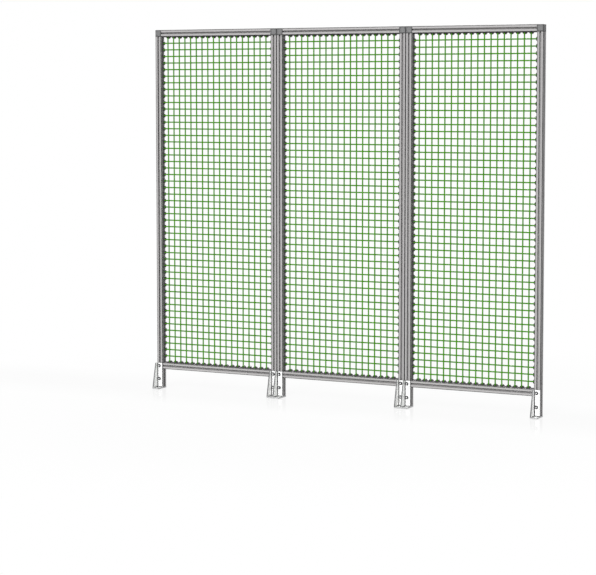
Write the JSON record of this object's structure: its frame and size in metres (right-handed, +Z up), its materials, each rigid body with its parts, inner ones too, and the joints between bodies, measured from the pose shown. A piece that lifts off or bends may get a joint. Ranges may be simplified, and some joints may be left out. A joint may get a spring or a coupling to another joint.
{
  "type": "machine guard fence",
  "caption": "Free-standing run of slotted aluminium frames filled with coated wire mesh in scalloped edging, on floor brackets with gussets.",
  "frame": {"origin": "on the underside of the left end foot, on the centre line of the post that stands on it", "axes": "+X along the fence towards its right end, +Y towards its back, +Z up; the feet reach forward, towards -Y"},
  "size_m": [2.52, 0.098, 2.2],
  "materials": {
    "anodised_aluminium": "satin, natural anodised, with fine extrusion lines",
    "grey_block": "smooth mid-grey coat on a cast block",
    "white_paint": "white powder coat",
    "plated_steel": "zinc-plated steel",
    "green_wire": "green coating on welded steel wire",
    "black_edging": "matt black moulded plastic"
  },
  "bodies": {
    "root": {"left_post_1": "anodised_aluminium", "right_post_1": "anodised_aluminium", "top_rail_1": "anodised_aluminium", "bottom_rail_1": "anodised_aluminium", "left_corner_block_1": "grey_block", "right_corner_block_1": "grey_block", "left_foot_1": "white_paint", "right_foot_1": "white_paint", "foot_screws_1": "plated_steel", "lower_mesh_1": "green_wire", "middle_mesh_1": "green_wire", "upper_mesh_1": "green_wire", "side_edging_1": "black_edging", "rail_edging_1": "black_edging", "left_post_2": "anodised_aluminium", "right_post_2": "anodised_aluminium", "top_rail_2": "anodised_aluminium", "bottom_rail_2": "anodised_aluminium", "left_corner_block_2": "grey_block", "right_corner_block_2": "grey_block", "left_foot_2": "white_paint", "right_foot_2": "white_paint", "foot_screws_2": "plated_steel", "lower_mesh_2": "green_wire", "middle_mesh_2": "green_wire", "upper_mesh_2": "green_wire", "side_edging_2": "black_edging", "rail_edging_2": "black_edging", "left_post_3": "anodised_aluminium", "right_post_3": "anodised_aluminium", "top_rail_3": "anodised_aluminium", "bottom_rail_3": "anodised_aluminium", "left_corner_block_3": "grey_block", "right_corner_block_3": "grey_block", "left_foot_3": "white_paint", "right_foot_3": "white_paint", "foot_screws_3": "plated_steel", "lower_mesh_3": "green_wire", "middle_mesh_3": "green_wire", "upper_mesh_3": "green_wire", "side_edging_3": "black_edging", "rail_edging_3": "black_edging"}
  },
  "joints": []
}
